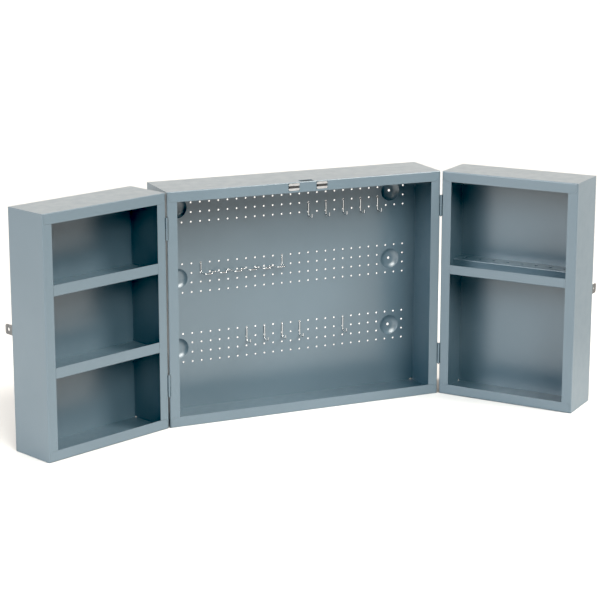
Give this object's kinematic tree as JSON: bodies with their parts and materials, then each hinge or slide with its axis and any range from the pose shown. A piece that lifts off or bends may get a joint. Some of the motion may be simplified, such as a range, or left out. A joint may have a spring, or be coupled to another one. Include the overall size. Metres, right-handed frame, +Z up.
{
  "type": "tool cabinet",
  "caption": "Wall-hung sheet-steel tool cabinet with deep swinging doors, a pegboard back holding wire hooks and a tool rack, shelves in the left door and a holed tray in the right.",
  "frame": {"origin": "centre of the carcass's bottom face", "axes": "+X to the right of someone facing the open cabinet, +Y from the open front to the wall, +Z up"},
  "size_m": [1.5367, 0.4539, 0.6096],
  "materials": {
    "paint": "satin",
    "zinc": "bright zinc plate",
    "steel": "dull plated",
    "magnet": "matt"
  },
  "bodies": {
    "carcass": {"carcass_bottom": "paint", "carcass_left_side": "paint", "carcass_right_side": "paint", "carcass_top": "paint", "left_catch_bracket": "zinc", "left_catch_lower_pole": "zinc", "left_catch_magnet": "magnet", "left_catch_upper_pole": "zinc", "left_door_lower_hinge_carcass_leaf": "paint", "left_door_lower_hinge_pin": "steel", "left_door_upper_hinge_carcass_leaf": "paint", "left_door_upper_hinge_pin": "steel", "peg_hook_1": "zinc", "peg_hook_10": "zinc", "peg_hook_2": "zinc", "peg_hook_3": "zinc", "peg_hook_4": "zinc", "peg_hook_5": "zinc", "peg_hook_6": "zinc", "peg_hook_7": "zinc", "peg_hook_8": "zinc", "peg_hook_9": "zinc", "pegboard": "paint", "right_catch_bracket": "zinc", "right_catch_lower_pole": "zinc", "right_catch_magnet": "magnet", "right_catch_upper_pole": "zinc", "right_door_lower_hinge_carcass_leaf": "paint", "right_door_lower_hinge_pin": "steel", "right_door_upper_hinge_carcass_leaf": "paint", "right_door_upper_hinge_pin": "steel", "screwdriver_rack": "zinc"},
    "left_door": {"left_door_bottom": "paint", "left_door_free_side": "paint", "left_door_hasp_tab": "steel", "left_door_hinge_side": "paint", "left_door_lower_hinge_door_leaf": "paint", "left_door_lower_shelf": "paint", "left_door_panel": "paint", "left_door_top": "paint", "left_door_upper_hinge_door_leaf": "paint", "left_door_upper_shelf": "paint"},
    "right_door": {"right_door_bottom": "paint", "right_door_free_side": "paint", "right_door_hasp_tab": "steel", "right_door_hinge_side": "paint", "right_door_lower_hinge_door_leaf": "paint", "right_door_panel": "paint", "right_door_top": "paint", "right_door_tray": "paint", "right_door_upper_hinge_door_leaf": "paint"}
  },
  "joints": [
    {"name": "left_door_hinge", "type": "hinge", "parent": "carcass", "child": "left_door", "pos_m": [-0.3832, -0.0767, 0], "axis": [0, 0, -1], "range_deg": [-158.3, 21.7]},
    {"name": "right_door_hinge", "type": "hinge", "parent": "carcass", "child": "right_door", "pos_m": [0.3832, -0.0767, 0], "axis": [0, 0, 1], "range_deg": [-127.5, 52.5]}
  ]
}
